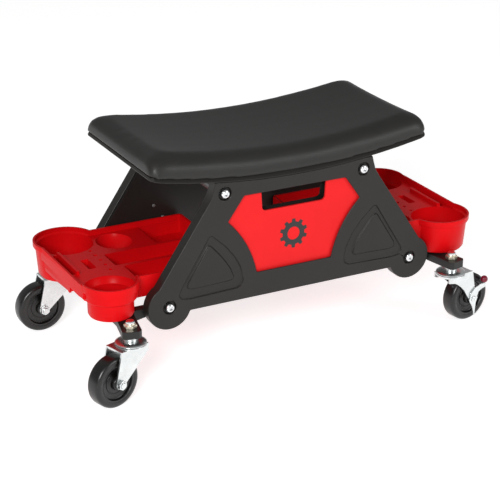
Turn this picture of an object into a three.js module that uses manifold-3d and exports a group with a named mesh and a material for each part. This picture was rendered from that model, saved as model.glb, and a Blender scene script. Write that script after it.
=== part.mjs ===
// Rolling mechanic's creeper seat: two moulded side frames, a padded seat, two tool trays
// and four swivel casters. Millimetres, +Z up, X along the seat, origin on the floor
// under the middle of the seat. Turning the object half round about Z maps it on itself,
// so most pieces are drawn once, for the front or the left, and turned for the other side.
import * as THREE from "three";
import { mergeVertices } from "three/addons/utils/BufferGeometryUtils.js";
import Module from "manifold-3d";

const wasm = await Module();
wasm.setup();

// Driving dimensions
const GAP = 0.3;
// Heights are drawn above a datum this far below the floor; the whole object is then set down.
const FLOOR_Z = 4.3;
const FRAME_OUTER_Y = 114;
const FRAME_THICKNESS = 17.5;
const FRAME_INNER_Y = FRAME_OUTER_Y - FRAME_THICKNESS;
const FRAME_BOTTOM_Z = 105.5;
const TOP_BOLT = { x: 107.5, z: 264.3 };
const LOBE_BOLT = { x: 190.2, z: 115.7 };
const LOBE_RADIUS = 32;
const SHOULDER = { x: 134, z: 250 };
// Where the frame's sloping edge meets the lobe's arc, from the lobe's centre.
const LOBE_TANGENT = { x: 15.6, z: 27.9 };
const NECK = { x: 124.4, z: 271 };
const TOP_CORNER_X = 121.5;
const PANEL_RECESS = 3;
const PANEL_THICKNESS = 5;
const HAND_HOLD = { z: 228, cornerRadius: 7, topHalfWidth: 51, halfWidth: 49 };
const LINER_THICKNESS = 2.5;

const SEAT_HALF_LENGTH = 213.7;
const SEAT_HALF_WIDTH = 114.1;
const SEAT_UNDERSIDE_Z = 275;
const SEAT_CURVE = 0.00048;
const SEAT_THICKNESS = 35.3;
const SEAT_EDGE_RADIUS = 24;
const SEAT_CORNER_RADIUS = 12;
const SEAT_DISH = 3;
const PAN_THICKNESS = 5;

const TRAY_RIM_Z = 160;
const TRAY_DECK_Z = 152;
const TRAY_FLOOR_Z = 133;
const TRAY_BOTTOM_Z = 130;
const BIN = { x: -263.5, y: 75.5, rim: 45.3, bottom: 108 };
const CUP = { x: -264.5, y: -88, rim: 38.6, bottom: 112.5, top: 161.5 };
const BOWL = { x: -198.5, y: 57, radius: 25.5, depth: 17 };
const DRIVER_HOLES = { x: -242, radius: 2.7, places: [36, 18, 0, -18, -36] };

const STEM = { x: 254.4, y: 127.9, radius: 6, top: 117 };
const CROSSBAR = { width: 26.4, low: 96, high: 107, splayDegrees: 12, bendY: 95, overhang: 15 };
const ARM = { outer: 93.4, inner: 80.4, low: 96, high: 111.8, bossRadius: 12.5 };

const WHEEL_RADIUS = 36;
const WHEEL_WIDTH = 22.8;
const HUB_HALF_WIDTH = 13.4;
const WHEEL_FACETS = 24;
const TRAIL = 32.3;
const AXLE_Z = FLOOR_Z + WHEEL_RADIUS;
const LEG = { inner: 13.9, thickness: 2.6, tipRadius: 7 };
const CROWN = { low: 82, high: 85, radius: 21.5, rear: 29 };
const AXLE_RADIUS = 4;
const SWIVEL_DEGREES = { front_left: 197, rear_left: 182, front_right: 10, rear_right: 17 };

const BLACK = { color: 0x383634, roughness: 0.55, metalness: 0 };
const RED = { color: 0xd81218, roughness: 0.38, metalness: 0 };
const PANEL_RED = { color: 0xee3035, roughness: 0.45, metalness: 0 };
const STEEL_BLACK = { color: 0x262422, roughness: 0.5, metalness: 0.2 };
const ZINC = { color: 0xc8cdcd, roughness: 0.32, metalness: 1 };
const TYRE = { color: 0x282624, roughness: 0.6, metalness: 0 };
const CAP_RED = { color: 0x780028, roughness: 0.4, metalness: 0 };

// Shapes and solids
function polygon(points) {
  return new THREE.Shape(points.map(([x, y]) => new THREE.Vector2(x, y)));
}

function circle(x, y, radius) {
  return new THREE.Shape().absarc(x, y, radius, 0, 2 * Math.PI, false);
}

function rectangle(x0, y0, x1, y1) {
  return polygon([[x0, y0], [x1, y0], [x1, y1], [x0, y1]]);
}

// An outline in the XY plane, raised from low to high along Z.
function prism(shape, low, high, curveSegments = 4) {
  const depth = high - low;
  const geometry = new THREE.ExtrudeGeometry(shape, { depth, bevelEnabled: false, curveSegments });
  return geometry.translate(0, 0, low);
}

// An outline drawn as (x, z), given thickness from y = front to y = back.
function plate(shape, front, back, curveSegments = 4) {
  return prism(shape, 0, back - front, curveSegments).rotateX(Math.PI / 2).translate(0, back, 0);
}

// An outline drawn as (y, z), given thickness from x = left to x = right.
function wall(shape, left, right) {
  const geometry = prism(shape, 0, right - left);
  return geometry.rotateX(Math.PI / 2).rotateZ(Math.PI / 2).translate(left, 0, 0);
}

function cone(x, y, bottomRadius, topRadius, low, high, sides = 20) {
  const geometry = new THREE.CylinderGeometry(topRadius, bottomRadius, high - low, sides);
  return geometry.rotateX(Math.PI / 2).translate(x, y, (low + high) / 2);
}

function rod(x, y, radius, low, high, sides = 12) {
  return cone(x, y, radius, radius, low, high, sides);
}

// A round bar along Y between two y values.
function barAlongY(x, z, radius, front, back, sides = 12) {
  const geometry = new THREE.CylinderGeometry(radius, radius, back - front, sides);
  return geometry.translate(x, (front + back) / 2, z);
}

function hexagon(acrossFlats) {
  const corner = acrossFlats / Math.sqrt(3);
  const turns = [0, 1, 2, 3, 4, 5].map((step) => (step * Math.PI) / 3);
  return polygon(turns.map((turn) => [corner * Math.cos(turn), corner * Math.sin(turn)]));
}

function toSolid(geometry) {
  const bare = geometry.clone();
  bare.deleteAttribute("normal");
  bare.deleteAttribute("uv");
  const merged = mergeVertices(bare, 1e-4);
  const vertProperties = new Float32Array(merged.attributes.position.array);
  const triVerts = new Uint32Array(merged.index.array);
  return new wasm.Manifold(new wasm.Mesh({ numProp: 3, vertProperties, triVerts }));
}

function toGeometry(body) {
  const mesh = body.getMesh();
  const geometry = new THREE.BufferGeometry();
  geometry.setAttribute("position", new THREE.BufferAttribute(mesh.vertProperties, 3));
  geometry.setIndex(new THREE.BufferAttribute(mesh.triVerts, 1));
  geometry.computeVertexNormals();
  return geometry;
}

function join(first, ...others) {
  return others.reduce((body, geometry) => body.add(toSolid(geometry)), toSolid(first));
}

function cut(body, ...tools) {
  return tools.reduce((left, geometry) => left.subtract(toSolid(geometry)), body);
}

function named(name, geometry, finish) {
  const mesh = new THREE.Mesh(geometry, new THREE.MeshStandardMaterial(finish));
  mesh.name = name;
  return mesh;
}

function seatUndersideAt(x) {
  return SEAT_UNDERSIDE_Z + SEAT_CURVE * x * x;
}

// Side frames
function frameOutline(inset) {
  const radius = LOBE_RADIUS - inset;
  const run = LOBE_BOLT.x + LOBE_TANGENT.x - SHOULDER.x;
  const fall = SHOULDER.z - LOBE_BOLT.z - LOBE_TANGENT.z;
  const slopeLength = Math.hypot(run, fall);
  const side = { x: (fall / slopeLength) * inset, z: (run / slopeLength) * inset };
  const start = Math.atan2(LOBE_TANGENT.z, LOBE_TANGENT.x);
  const bottom = FRAME_BOTTOM_Z + inset;
  const end = -Math.PI + Math.asin((LOBE_BOLT.z - bottom) / radius);
  const shape = new THREE.Shape();
  const topPoints = [-1, -0.75, -0.5, -0.25, 0, 0.25, 0.5, 0.75, 1].map((part) => {
    const x = part * (TOP_CORNER_X - inset);
    return [x, seatUndersideAt(x) - GAP - inset];
  });
  shape.moveTo(...topPoints[0]);
  topPoints.slice(1).forEach(([x, z]) => shape.lineTo(x, z));
  shape.lineTo(NECK.x - inset, NECK.z - side.z);
  shape.lineTo(SHOULDER.x - side.x, SHOULDER.z - side.z);
  shape.absarc(LOBE_BOLT.x, LOBE_BOLT.z, radius, start, end, true);
  shape.absarc(-LOBE_BOLT.x, LOBE_BOLT.z, radius, -Math.PI - end, Math.PI - start, true);
  shape.lineTo(side.x - SHOULDER.x, SHOULDER.z - side.z);
  shape.lineTo(inset - NECK.x, NECK.z - side.z);
  return shape;
}

// The opening in the frame's face, grown by a margin for the rebate behind it.
function windowOutline(margin) {
  const top = 256.5 + margin;
  const bottom = 141.7 - margin;
  const shape = new THREE.Shape();
  shape.moveTo(-79 - 0.6 * margin, top);
  shape.lineTo(79 + 0.6 * margin, top);
  shape.lineTo(103 + 1.2 * margin, 223);
  shape.quadraticCurveTo(68.5 + 0.9 * margin, 189.1 - 0.4 * margin, 58.5 + 0.8 * margin, bottom);
  shape.lineTo(-58.5 - 0.8 * margin, bottom);
  shape.quadraticCurveTo(-68.5 - 0.9 * margin, 189.1 - 0.4 * margin, -103 - 1.2 * margin, 223);
  return shape;
}

// The hand hold: rounded lower corners, and a top edge at the given height.
function handleOutline(top) {
  const { z, cornerRadius, topHalfWidth, halfWidth } = HAND_HOLD;
  const shape = new THREE.Shape();
  shape.moveTo(-topHalfWidth, top);
  shape.lineTo(-halfWidth, z + cornerRadius);
  shape.quadraticCurveTo(-halfWidth, z, cornerRadius - halfWidth, z);
  shape.lineTo(halfWidth - cornerRadius, z);
  shape.quadraticCurveTo(halfWidth, z, halfWidth, z + cornerRadius);
  shape.lineTo(topHalfWidth, top);
  return shape;
}

// The raised three-cornered rib beside the window: outline of its groove or of its plateau.
function gussetOutline(outer) {
  const shape = new THREE.Shape();
  if (outer) {
    shape.moveTo(-125.4, 206);
    shape.quadraticCurveTo(-79, 168, -79.6, 135.6);
    shape.quadraticCurveTo(-80, 124.6, -89.2, 124.6);
    shape.lineTo(-160, 122.6);
    shape.quadraticCurveTo(-182, 123, -174.1, 136.4);
    shape.lineTo(-131, 206);
  } else {
    shape.moveTo(-129, 193.5);
    shape.quadraticCurveTo(-96, 163, -94.5, 143);
    shape.quadraticCurveTo(-94, 137.5, -99, 137.5);
    shape.lineTo(-155, 136);
    shape.quadraticCurveTo(-167, 136, -162.8, 145.3);
    shape.lineTo(-132, 193.5);
  }
  return shape;
}

function boltPlaces() {
  return [
    { x: -TOP_BOLT.x, z: TOP_BOLT.z },
    { x: TOP_BOLT.x, z: TOP_BOLT.z },
    { x: -LOBE_BOLT.x, z: LOBE_BOLT.z },
    { x: LOBE_BOLT.x, z: LOBE_BOLT.z },
  ];
}

function sideFrame() {
  const face = -FRAME_OUTER_Y;
  const back = -FRAME_INNER_Y;
  const rebate = face + PANEL_RECESS - GAP;
  const grooveDepth = 2.2;
  const ring = cut(
    toSolid(plate(gussetOutline(true), face - 1, face + grooveDepth)),
    plate(gussetOutline(false), face - 2, face + grooveDepth + 1),
  );
  let body = cut(
    toSolid(plate(frameOutline(0), face, back, 9)),
    plate(windowOutline(0), face - 1, back + 1),
    plate(windowOutline(4), rebate, back + 1),
  );
  body = body.subtract(ring).subtract(ring.mirror([1, 0, 0]));
  boltPlaces().forEach(({ x, z }) => {
    body = cut(body, barAlongY(x, z, 4.5, face - 1, back + 1), barAlongY(x, z, 9.5, face - 1, face + 1.6, 14));
  });
  return toGeometry(body);
}

function frameLiner() {
  const front = -FRAME_INNER_Y + GAP;
  const back = front + LINER_THICKNESS;
  let body = cut(toSolid(plate(frameOutline(3), front, back, 6)), plate(handleOutline(256), front - 1, back + 1));
  boltPlaces().forEach(({ x, z }) => {
    body = cut(body, barAlongY(x, z, 4.5, front - 1, back + 1));
  });
  return toGeometry(body);
}

function redPanel() {
  const front = -FRAME_OUTER_Y + PANEL_RECESS;
  const back = front + PANEL_THICKNESS;
  const body = cut(toSolid(plate(windowOutline(3.7), front, back)), plate(handleOutline(262), front - 1, back + 1));
  return toGeometry(body);
}

function crossTube(x, z, radius, halfLength) {
  const body = cut(
    toSolid(barAlongY(x, z, radius, -halfLength, halfLength, 16)),
    barAlongY(x, z, 4.6, -halfLength - 1, halfLength + 1),
  );
  return toGeometry(body);
}

// A button-head bolt along Y whose head sits in the frame's spot face.
function frameBolt(x, z) {
  const seatY = -FRAME_OUTER_Y + 1.6 - GAP;
  const body = join(
    barAlongY(x, z, 4, seatY - 1, -70, 8),
    barAlongY(x, z, 8.2, seatY - 1.6, seatY),
    barAlongY(x, z, 6.4, seatY - 4.6, seatY - 1),
  );
  const socket = plate(hexagon(5.5), 0, 3).translate(x, seatY - 5.6, z);
  return toGeometry(cut(body, socket));
}

// Seat
function seatRing(x, inset, lowOffset, highOffset, edgeSteps) {
  const halfLength = SEAT_HALF_LENGTH - inset;
  const fromCorner = Math.max(0, Math.abs(x) - (halfLength - SEAT_CORNER_RADIUS));
  const corner = SEAT_CORNER_RADIUS - Math.sqrt(Math.max(0, SEAT_CORNER_RADIUS ** 2 - fromCorner ** 2));
  const halfWidth = SEAT_HALF_WIDTH - inset - corner;
  const edge = Math.min(SEAT_EDGE_RADIUS, (highOffset - lowOffset) * 0.8);
  const fromEnd = Math.max(0, Math.abs(x) - (halfLength - edge));
  const drop = edge - Math.sqrt(Math.max(0, edge ** 2 - fromEnd ** 2));
  const base = seatUndersideAt(x);
  const top = base + highOffset - drop;
  const radius = Math.min(edge, top - base - lowOffset - 1);
  const padded = edgeSteps > 1;
  const dish = padded ? SEAT_DISH * (1 - drop / edge) : 0;
  const crossPoints = padded ? [2 / 3, 1 / 3, 0, -1 / 3, -2 / 3] : [];
  const turns = Array.from({ length: edgeSteps + 1 }, (_, step) => (step * Math.PI) / (2 * edgeSteps));
  const ring = [[-halfWidth, base + lowOffset], [halfWidth, base + lowOffset]];
  turns.forEach((turn) => {
    ring.push([halfWidth - radius + radius * Math.cos(turn), top - radius + radius * Math.sin(turn)]);
  });
  crossPoints.forEach((across) => {
    ring.push([across * (halfWidth - radius), top - dish * (1 - across * across)]);
  });
  turns.reverse().forEach((turn) => {
    ring.push([-halfWidth + radius - radius * Math.cos(turn), top - radius + radius * Math.sin(turn)]);
  });
  return ring.map(([y, z]) => [x, y, z]);
}

function loft(rings) {
  const count = rings[0].length;
  const position = rings.flat(2);
  const centre = (ring) => [0, 1, 2].map((axis) => ring.reduce((sum, point) => sum + point[axis], 0) / count);
  position.push(...centre(rings[0]), ...centre(rings[rings.length - 1]));
  const firstCentre = rings.length * count;
  const last = (rings.length - 1) * count;
  const index = [];
  for (let side = 0; side < count; side += 1) {
    const next = (side + 1) % count;
    for (let row = 0; row < rings.length - 1; row += 1) {
      const here = row * count;
      const there = here + count;
      index.push(here + side, here + next, there + next, here + side, there + next, there + side);
    }
    index.push(firstCentre, next, side, firstCentre + 1, last + side, last + next);
  }
  const geometry = new THREE.BufferGeometry();
  geometry.setAttribute("position", new THREE.Float32BufferAttribute(position, 3));
  geometry.setIndex(index);
  geometry.computeVertexNormals();
  return geometry;
}

function seatBody(inset, lowOffset, highOffset, edgeSteps) {
  const halfLength = SEAT_HALF_LENGTH - inset;
  const nearEnd = [0, 1.5, 5, 12, 24];
  const places = nearEnd.map((step) => halfLength - step);
  for (let x = 162; x > 0; x -= 27) {
    places.push(x);
  }
  const left = places.map((x) => -x);
  const stations = [...left, 0, ...places.reverse()];
  return loft(stations.map((x) => seatRing(x, inset, lowOffset, highOffset, edgeSteps)));
}

// Tool tray, drawn for the left end
function roundedCup(x, y, profile) {
  const points = profile.map(([radius, z]) => new THREE.Vector2(radius, z));
  return new THREE.LatheGeometry(points, 20).rotateX(Math.PI / 2).translate(x, y, 0);
}

function trayPlan() {
  return polygon([
    [-305, 66], [-305, -74], [-303, -88], [-264.5, -92.8], [-77, -92.8], [-77, 90], [-263, 90],
  ]);
}

// The outer wall's lower edge, as (y, z): it drops to a tooth and steps up beside the cup.
function skirtOutline() {
  return polygon([[58, 150], [-69, 150], [-69, 138], [-35, 138], [-32, 127.5], [-26, 129], [30, 125], [58, 125]]);
}

function trayBody() {
  const rim = join(
    prism(trayPlan(), 141.5, TRAY_RIM_Z),
    cone(BIN.x, BIN.y, BIN.rim - 0.6, BIN.rim, 151.5, TRAY_RIM_Z),
  );
  const base = join(
    prism(rectangle(-301, -88, -77.6, 89.4), TRAY_BOTTOM_Z, 145),
    roundedCup(BIN.x, BIN.y, [
      [0, BIN.bottom], [34.5, BIN.bottom], [39.4, BIN.bottom + 5], [42.3, 153], [0, 153],
    ]),
    wall(skirtOutline(), -301, -297.8),
  );
  const frontLedge = prism(rectangle(-264.5, -92.8, -77.6, -80), TRAY_BOTTOM_Z, 145);
  const underside = prism(rectangle(-310, -90, -285, -34), TRAY_BOTTOM_Z - 10, 138);
  return base.add(toSolid(frontLedge)).subtract(toSolid(underside)).add(rim);
}

function trayPockets() {
  return [
    prism(rectangle(-302, -30, -290, 41.5), 142.5, 170),
    prism(rectangle(-268, -23, -256, 11), TRAY_FLOOR_Z, 170),
    prism(rectangle(-148.5, 20.5, -80, 86), TRAY_FLOOR_Z, 170),
    prism(rectangle(-231, -27, -80, 15.5), TRAY_FLOOR_Z, 170),
    prism(rectangle(-222, -89.8, -80, -33), TRAY_FLOOR_Z, 170),
  ];
}

function tray() {
  const deck = prism(rectangle(-302, -89.8, -80, 87), TRAY_DECK_Z, 170);
  const ridge = prism(rectangle(-289.8, -34, -285.5, 44), TRAY_DECK_Z - 2, 157);
  const holes = DRIVER_HOLES.places.map((y) => {
    return rod(DRIVER_HOLES.x, y, DRIVER_HOLES.radius, TRAY_BOTTOM_Z - 5, 170, 8);
  });
  const cupBody = roundedCup(CUP.x, CUP.y, [
    [0, CUP.bottom], [28, CUP.bottom], [31, CUP.bottom + 3], [31.3, 137],
    [36, 138.2], [36.4, TRAY_DECK_Z], [0, TRAY_DECK_Z],
  ]);
  const cupRim = rod(CUP.x, CUP.y, CUP.rim, 150.6, CUP.top, 24);
  const cupInner = roundedCup(CUP.x, CUP.y, [
    [0, CUP.bottom + 3], [26, CUP.bottom + 3], [28.3, 141], [33, 141.4], [35.9, 153.4],
    [35.9, 175], [0, 175],
  ]);
  const binInner = roundedCup(BIN.x, BIN.y, [
    [0, BIN.bottom + 3], [33.5, BIN.bottom + 3], [37, BIN.bottom + 7], [39.8, TRAY_DECK_Z],
    [42.3, TRAY_DECK_Z + 2], [42.5, 175], [0, 175],
  ]);
  const sphere = (BOWL.radius ** 2 + BOWL.depth ** 2) / (2 * BOWL.depth);
  const bowl = new THREE.SphereGeometry(sphere, 24, 18).rotateX(Math.PI / 2);
  bowl.translate(BOWL.x, BOWL.y, TRAY_DECK_Z - BOWL.depth + sphere);
  const bosses = [-20, 20].map((y) => rod(-STEM.x, y, 6, CROSSBAR.high + GAP, TRAY_BOTTOM_Z + 1));
  let body = cut(trayBody().add(toSolid(cupRim)), deck).add(toSolid(ridge));
  body = cut(body, ...trayPockets(), bowl, ...holes);
  body = body.add(toSolid(cupBody)).subtract(toSolid(cupInner)).subtract(toSolid(binInner));
  bosses.forEach((boss) => {
    body = body.add(toSolid(boss));
  });
  return toGeometry(body);
}

// Steel carriers, drawn for the left end
// A flat bar whose ends splay outwards under the stems.
function crossbar() {
  const half = CROSSBAR.width / 2;
  const splay = THREE.MathUtils.degToRad(CROSSBAR.splayDegrees);
  const along = { x: -Math.sin(splay), y: Math.cos(splay) };
  const middleX = -STEM.x + (STEM.y - CROSSBAR.bendY) * Math.tan(splay);
  const end = { x: -STEM.x + CROSSBAR.overhang * along.x, y: STEM.y + CROSSBAR.overhang * along.y };
  const corner = (side, back) => [
    end.x + side * along.y * half - back * along.x,
    end.y - side * along.x * half - back * along.y,
  ];
  const inset = (side, amount) => [
    end.x + side * along.y * (half - amount),
    end.y - side * along.x * (half - amount),
  ];
  const rearEnd = [corner(1, 4), inset(1, 4), inset(-1, 4), corner(-1, 4)];
  const middle = [[middleX + half, CROSSBAR.bendY], ...rearEnd, [middleX - half, CROSSBAR.bendY]];
  const front = middle.map(([x, y]) => [x, -y]).reverse();
  const bar = toSolid(prism(polygon([...middle, ...front]), CROSSBAR.low, CROSSBAR.high));
  const holes = [-STEM.y, STEM.y].map((y) => rod(-STEM.x, y, STEM.radius + 0.4, 90, 120));
  return toGeometry(cut(bar, ...holes));
}

// The arm under the parts bin stays below it, so its far end is lower.
function arm(front, back, endTop) {
  const splay = THREE.MathUtils.degToRad(CROSSBAR.splayDegrees);
  const end = -STEM.x + (STEM.y - CROSSBAR.bendY) * Math.tan(splay) + CROSSBAR.width / 2 + GAP;
  const boss = circle(-LOBE_BOLT.x, LOBE_BOLT.z, ARM.bossRadius);
  const bar = polygon([
    [end, ARM.low], [-LOBE_BOLT.x - 4, 103.4], [-LOBE_BOLT.x - 4, 126], [-LOBE_BOLT.x - 20, ARM.high],
    [-LOBE_BOLT.x - 31, endTop], [end, endTop],
  ]);
  const solid = join(plate(bar, front, back), plate(boss, front, back, 8));
  return toGeometry(cut(solid, barAlongY(-LOBE_BOLT.x, LOBE_BOLT.z, 4.5, front - 1, back + 1)));
}

// Casters, drawn with the stem on the Z axis and the wheel trailing along +X
function casterStem() {
  const profile = [
    [0, 77], [7, 77], [7, CROWN.low - GAP], [4, CROWN.low - GAP], [4, CROWN.high + GAP],
    [21, CROWN.high + GAP], [21, 87], [17.5, 88.6], [9.2, 89], [9.2, CROSSBAR.low - GAP],
    [STEM.radius, CROSSBAR.low - GAP], [STEM.radius, STEM.top], [0, STEM.top],
  ];
  const points = profile.map(([radius, z]) => new THREE.Vector2(radius, z));
  return new THREE.LatheGeometry(points, 14).rotateX(Math.PI / 2);
}

function stemNut() {
  const outline = hexagon(15.5);
  outline.holes.push(new THREE.Path().absarc(0, 0, STEM.radius + 0.35, 0, 2 * Math.PI, true));
  return prism(outline, CROSSBAR.high + GAP, 114, 8);
}

function legOutline(braked) {
  const shape = new THREE.Shape();
  shape.moveTo(-17, CROWN.high);
  shape.lineTo(CROWN.rear, CROWN.high);
  shape.absarc(TRAIL, AXLE_Z, LEG.tipRadius, 0.2, -2.6, true);
  if (braked) {
    shape.quadraticCurveTo(9, 66, -6, 73.5);
    shape.lineTo(-17, 76);
  } else {
    shape.lineTo(-17, 75);
  }
  return shape;
}

function fork(braked) {
  const outer = LEG.inner + LEG.thickness;
  const legs = [[-outer, -LEG.inner], [LEG.inner, outer]].map(([front, back]) => {
    return plate(legOutline(braked), front, back);
  });
  const crown = [
    rod(0, 0, CROWN.radius, CROWN.low, CROWN.high, 20),
    prism(rectangle(-13, -outer + 0.5, CROWN.rear, outer - 0.5), CROWN.low, CROWN.high),
  ];
  const solid = join(...crown, ...legs);
  const axleHole = barAlongY(TRAIL, AXLE_Z, AXLE_RADIUS + 0.35, -20, 20);
  return toGeometry(cut(solid, axleHole, rod(0, 0, 4.4, CROWN.low - 1, CROWN.high + 1)));
}

// The head side is towards -Y; a brake lever under the head pushes it out.
function axleBolt(leverSpace) {
  const face = -(LEG.inner + LEG.thickness) - leverSpace - GAP;
  const head = plate(hexagon(12), 0, 4).translate(TRAIL, face - 4, AXLE_Z);
  const dimple = barAlongY(TRAIL, AXLE_Z, 2, face - 5, face - 3, 10);
  const shank = barAlongY(TRAIL, AXLE_Z, AXLE_RADIUS, face - 1, 22.5);
  return toGeometry(cut(join(shank, head), dimple));
}

function axleNut() {
  const outline = hexagon(12);
  outline.holes.push(new THREE.Path().absarc(0, 0, AXLE_RADIUS + 0.35, 0, 2 * Math.PI, true));
  const face = LEG.inner + LEG.thickness + GAP;
  return plate(outline, 0, 4.5).translate(TRAIL, face, AXLE_Z);
}

function wheel() {
  const flank = WHEEL_WIDTH / 2;
  const half = [
    [WHEEL_RADIUS, flank - 3], [WHEEL_RADIUS - 4, flank], [WHEEL_RADIUS - 10, flank],
    [WHEEL_RADIUS - 11, flank - 4.5], [9.5, flank - 4.5], [9, HUB_HALF_WIDTH], [AXLE_RADIUS + 0.4, HUB_HALF_WIDTH],
  ];
  const loop = [...half.map(([radius, y]) => [radius, -y]).reverse(), ...half];
  loop.push(loop[0]);
  const points = loop.map(([radius, y]) => new THREE.Vector2(radius / Math.cos(Math.PI / WHEEL_FACETS), y));
  const geometry = new THREE.LatheGeometry(points, WHEEL_FACETS).rotateY(Math.PI / WHEEL_FACETS);
  return geometry.translate(TRAIL, 0, AXLE_Z);
}

// Pressed lever on the axle: a hub, a foot strip that bends up to the ball, and a pointed tail.
function brakeLever() {
  const front = -(LEG.inner + LEG.thickness) - GAP - 2;
  const strip = polygon([
    [25, 40], [39.5, 42], [42, 49], [48, 52], [57, 54], [56, 59.5], [47, 60.5], [35, 57], [27, 50],
  ]);
  const tail = polygon([[25, 38], [30.5, 28], [36.2, 12], [38, 37]]);
  const hub = circle(TRAIL, AXLE_Z, 8.5);
  const solid = join(plate(hub, front, front + 2), plate(strip, front, front + 2), plate(tail, front, front + 2));
  return toGeometry(cut(solid, barAlongY(TRAIL, AXLE_Z, AXLE_RADIUS + 0.35, front - 1, front + 3)));
}

function leverCap() {
  const middle = -(LEG.inner + LEG.thickness) - GAP - 1;
  const radius = 5.4;
  return new THREE.SphereGeometry(radius, 10, 8).rotateX(Math.PI / 2).translate(53.5, middle, 60.8 + radius);
}

function addCaster(parent, name, stemX, stemY, braked) {
  const fixed = new THREE.Group();
  fixed.position.set(stemX, stemY, 0);
  fixed.add(named(`caster_stem_${name}`, casterStem(), ZINC));
  fixed.add(named(`stem_nut_${name}`, stemNut(), ZINC));
  const swivel = new THREE.Group();
  swivel.rotation.z = THREE.MathUtils.degToRad(SWIVEL_DEGREES[name]);
  swivel.add(named(`fork_${name}`, fork(braked), ZINC));
  swivel.add(named(`axle_bolt_${name}`, axleBolt(braked ? 2.3 : 0), ZINC));
  swivel.add(named(`axle_nut_${name}`, axleNut(), ZINC));
  swivel.add(named(`wheel_${name}`, wheel(), TYRE));
  if (braked) {
    swivel.add(named(`brake_lever_${name}`, brakeLever(), ZINC));
    swivel.add(named(`lever_cap_${name}`, leverCap(), CAP_RED));
  }
  fixed.add(swivel);
  parent.add(fixed);
}

function turned(degrees, ...children) {
  const group = new THREE.Group();
  group.rotation.z = THREE.MathUtils.degToRad(degrees);
  group.add(...children);
  return group;
}

function frameSide(name) {
  const bolts = boltPlaces().map(({ x, z }) => {
    const level = z > 200 ? "upper" : "lower";
    const end = x < 0 ? "first" : "second";
    return named(`frame_bolt_${name}_${level}_${end}`, frameBolt(x, z), ZINC);
  });
  return [
    named(`side_frame_${name}`, sideFrame(), BLACK),
    named(`frame_liner_${name}`, frameLiner(), BLACK),
    named(`red_panel_${name}`, redPanel(), PANEL_RED),
    ...bolts,
  ];
}

function trayEnd(name) {
  return [
    named(`tool_tray_${name}`, tray(), RED),
    named(`crossbar_${name}`, crossbar(), STEEL_BLACK),
    named(`carrier_arm_${name}_first`, arm(-ARM.outer, -ARM.inner, ARM.high), STEEL_BLACK),
    named(`carrier_arm_${name}_second`, arm(ARM.inner, ARM.outer, CROSSBAR.high), STEEL_BLACK),
  ];
}

function buildCreeper() {
  const creeper = new THREE.Group();
  creeper.add(turned(0, ...frameSide("front")), turned(180, ...frameSide("rear")));
  creeper.add(turned(0, ...trayEnd("left")), turned(180, ...trayEnd("right")));
  creeper.add(named("cross_tube_upper_left", crossTube(-TOP_BOLT.x, TOP_BOLT.z, 8, ARM.outer - GAP), ZINC));
  creeper.add(named("cross_tube_upper_right", crossTube(TOP_BOLT.x, TOP_BOLT.z, 8, ARM.outer - GAP), ZINC));
  creeper.add(named("cross_tube_lower_left", crossTube(-LOBE_BOLT.x, LOBE_BOLT.z, 7, ARM.inner - GAP), ZINC));
  creeper.add(named("cross_tube_lower_right", crossTube(LOBE_BOLT.x, LOBE_BOLT.z, 7, ARM.inner - GAP), ZINC));
  creeper.add(named("seat_pan", seatBody(1, 0, PAN_THICKNESS, 1), BLACK));
  creeper.add(named("seat_cushion", seatBody(0, PAN_THICKNESS + GAP, SEAT_THICKNESS, 3), BLACK));
  addCaster(creeper, "front_left", -STEM.x, -STEM.y, false);
  addCaster(creeper, "rear_left", -STEM.x, STEM.y, false);
  addCaster(creeper, "front_right", STEM.x, -STEM.y, true);
  addCaster(creeper, "rear_right", STEM.x, STEM.y, true);
  creeper.position.z = -FLOOR_Z;
  return creeper;
}

export default buildCreeper();
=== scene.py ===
"""Rolling mechanic's creeper seat: the looks of each piece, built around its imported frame."""
import math

import bmesh
import bpy
from bpy.props import FloatProperty, FloatVectorProperty, PointerProperty
from mathutils import Matrix, Vector


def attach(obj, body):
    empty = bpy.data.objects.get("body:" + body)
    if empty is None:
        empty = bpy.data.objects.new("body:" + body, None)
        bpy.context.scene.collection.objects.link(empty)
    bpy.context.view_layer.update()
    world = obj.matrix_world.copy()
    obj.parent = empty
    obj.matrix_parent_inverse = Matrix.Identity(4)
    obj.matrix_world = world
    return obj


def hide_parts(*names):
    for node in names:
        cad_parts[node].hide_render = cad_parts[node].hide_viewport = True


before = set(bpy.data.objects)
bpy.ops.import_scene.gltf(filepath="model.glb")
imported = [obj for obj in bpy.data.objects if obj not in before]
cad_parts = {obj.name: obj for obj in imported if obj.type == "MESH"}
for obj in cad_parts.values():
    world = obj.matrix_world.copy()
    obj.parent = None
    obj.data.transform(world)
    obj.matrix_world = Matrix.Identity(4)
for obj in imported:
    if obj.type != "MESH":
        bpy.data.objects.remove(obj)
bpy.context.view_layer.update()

bl_info = {
    "name": "Creeper Seat",
    "version": (1, 0, 0),
    "blender": (4, 5, 0),
    "location": "View3D > Sidebar > Creeper",
    "description": "Builds the looks of a rolling workshop seat around its frame",
    "category": "Object",
}

# Pieces are drawn in millimetres, with heights above a datum this far below the floor.
FLOOR = 4.3
SEAT_UNDERSIDE = 275
SEAT_CURVE = 0.00048
PAN_THICKNESS = 5
OUTER_Y = 114
INNER_Y = 96.5
STEM = (254.4, 127.9)
TRAIL = 32.3
AXLE = 40.3
LEG_FACES = (13.9, 16.5)
PANEL_FACES = (-109.4, -106)
MARK_FACES = (-109.6, -109.45)
BOLT_SEAT = -108.5
LEVER_SPACE = 2.3
LEVER_BALL = (53.5, -17.8, 66.2)
UPPER_BOLT = (107.5, 264.3)
LOWER_BOLT = (190.2, 115.7)
SWIVELS = {"front_left": 197, "rear_left": 182, "front_right": 10, "rear_right": 17}
SIDES = {"front_left": (-1, -1), "rear_left": (-1, 1), "front_right": (1, -1), "rear_right": (1, 1)}


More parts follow.
